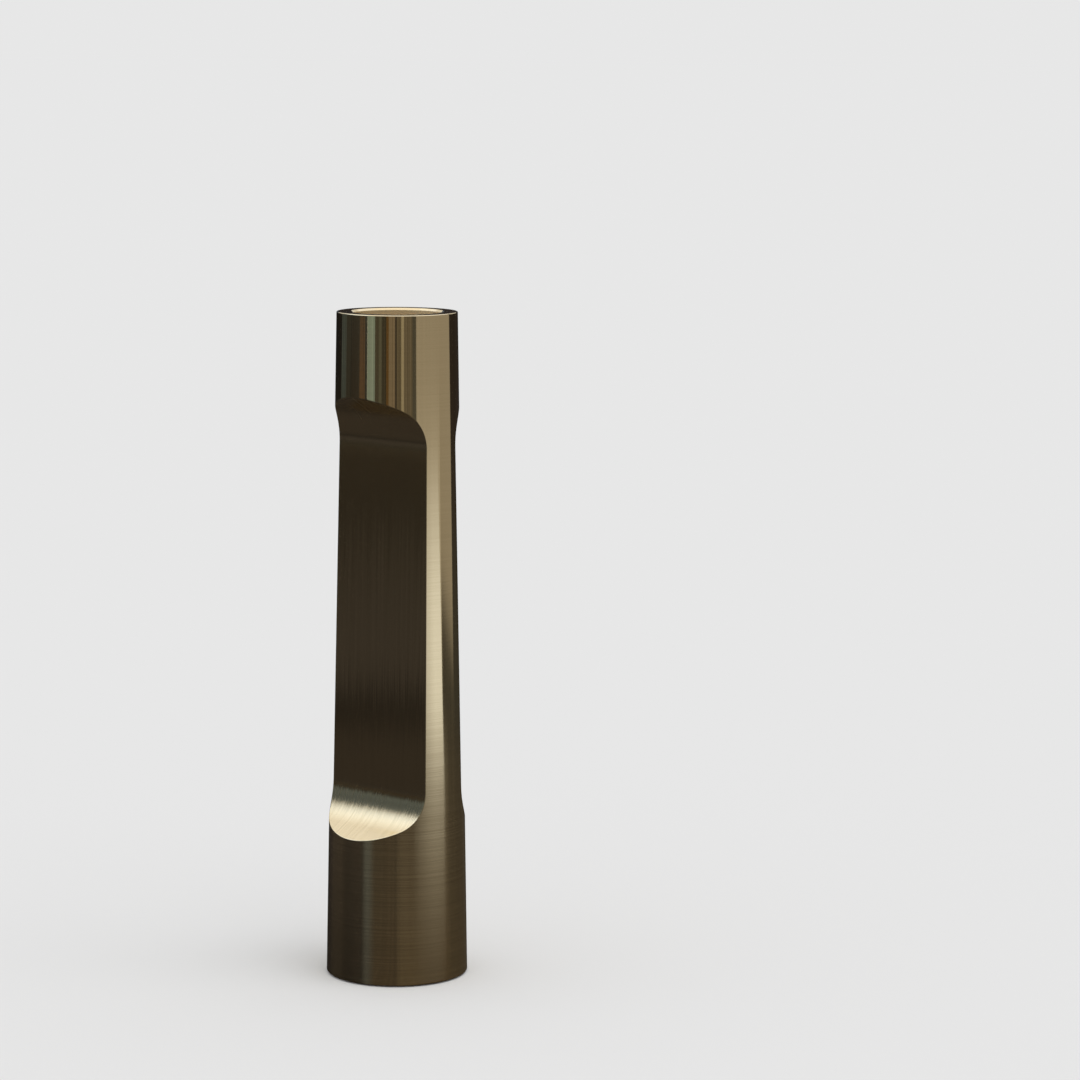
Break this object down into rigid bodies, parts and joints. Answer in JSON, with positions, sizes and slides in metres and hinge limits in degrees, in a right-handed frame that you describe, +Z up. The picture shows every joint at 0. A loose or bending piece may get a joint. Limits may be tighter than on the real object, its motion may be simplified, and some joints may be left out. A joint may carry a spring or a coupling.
{
  "type": "metal vase",
  "caption": "Slim turned brass bud vase with long flats milled on opposite sides, a removable glass water tube in its bore and a cork foot.",
  "frame": {"origin": "centre of the cork pad's underside, on the surface that the vase stands on", "axes": "+Z up along the axis of the turned body; the two milled flats face -Y and +Y; +X runs across the flats"},
  "size_m": [0.032, 0.032, 0.1503],
  "materials": {
    "turned_brass": "fine turned satin",
    "clear_glass": "fire polished",
    "silicone": "matt",
    "cork": "ground"
  },
  "bodies": {
    "vase": {"vase_body": "turned_brass", "seat_ring": "silicone", "foot_pad": "cork"},
    "tube": {"water_tube": "clear_glass"}
  },
  "joints": [
    {"name": "water_tube_lift", "type": "slide", "parent": "vase", "child": "tube", "axis": [0, 0, 1], "range_m": [0, 0.13]}
  ]
}
